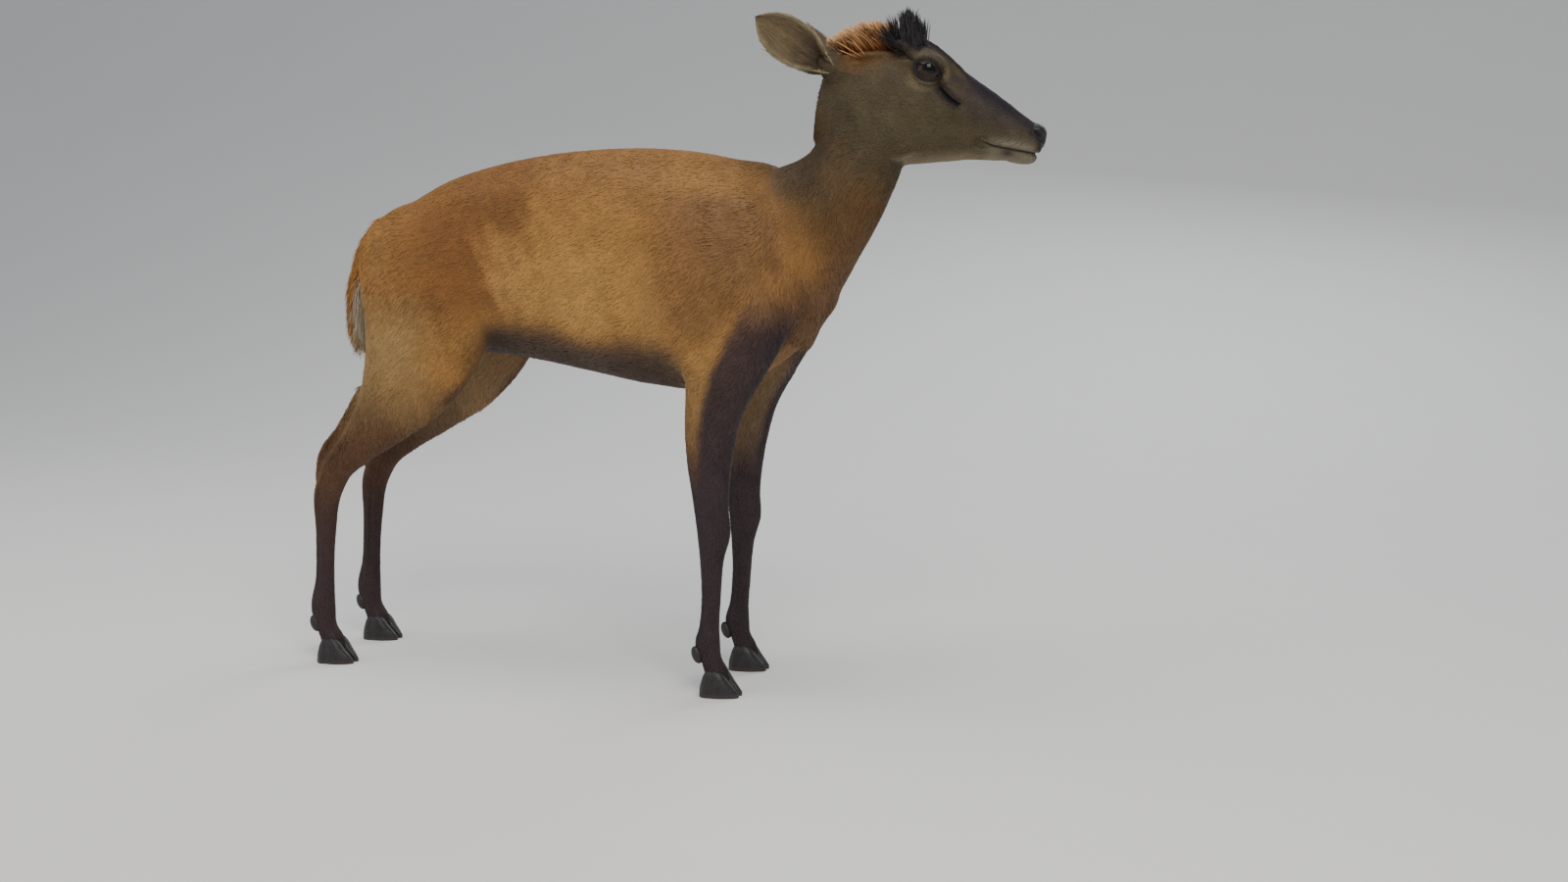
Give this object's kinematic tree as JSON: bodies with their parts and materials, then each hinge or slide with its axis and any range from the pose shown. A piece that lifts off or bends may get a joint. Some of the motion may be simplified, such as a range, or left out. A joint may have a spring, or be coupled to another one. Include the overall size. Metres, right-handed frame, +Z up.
{
  "type": "muntjac",
  "caption": "Life-size standing muntjac doe with a rufous coat, grey-brown head, dark slender legs and a bright tuft between the ears.",
  "frame": {"origin": "middle of the bounding box at floor level, under the belly", "axes": "+X forward, towards the nose; +Y to the animal's left; +Z up"},
  "size_m": [0.7502, 0.1894, 0.6515],
  "materials": {
    "rufous_coat": "short, dense, slightly glossy hair",
    "grey_brown_coat": "short, dense hair",
    "dark_coat": "short, close hair",
    "orange_tuft": "longer, brushed back hair",
    "tail_coat": "long hair, rufous above and white beneath",
    "ear_skin": "thin skin with sparse hair",
    "eye": "polished, wet",
    "nose_leather": "moist, finely grained",
    "hoof_horn": "dull horn"
  },
  "bodies": {
    "root": {"torso": "rufous_coat", "neck": "grey_brown_coat", "foreleg_right_upper": "dark_coat", "foreleg_right_lower": "dark_coat", "foreleg_left_upper": "dark_coat", "foreleg_left_lower": "dark_coat", "hindleg_right_upper": "dark_coat", "hindleg_right_lower": "dark_coat", "hindleg_left_upper": "dark_coat", "hindleg_left_lower": "dark_coat", "head": "grey_brown_coat", "nose_pad": "nose_leather", "tail": "tail_coat", "eye_right": "eye", "eye_left": "eye", "ear_right": "ear_skin", "ear_left": "ear_skin", "crown_tuft": "orange_tuft", "knob_tuft_right": "dark_coat", "knob_tuft_left": "dark_coat", "hoof_foreleg_right_inner": "hoof_horn", "hoof_foreleg_right_outer": "hoof_horn", "dewclaw_foreleg_right_inner": "hoof_horn", "dewclaw_foreleg_right_outer": "hoof_horn", "hoof_foreleg_left_inner": "hoof_horn", "hoof_foreleg_left_outer": "hoof_horn", "dewclaw_foreleg_left_inner": "hoof_horn", "dewclaw_foreleg_left_outer": "hoof_horn", "hoof_hindleg_right_inner": "hoof_horn", "hoof_hindleg_right_outer": "hoof_horn", "dewclaw_hindleg_right_inner": "hoof_horn", "dewclaw_hindleg_right_outer": "hoof_horn", "hoof_hindleg_left_inner": "hoof_horn", "hoof_hindleg_left_outer": "hoof_horn", "dewclaw_hindleg_left_inner": "hoof_horn", "dewclaw_hindleg_left_outer": "hoof_horn"}
  },
  "joints": []
}
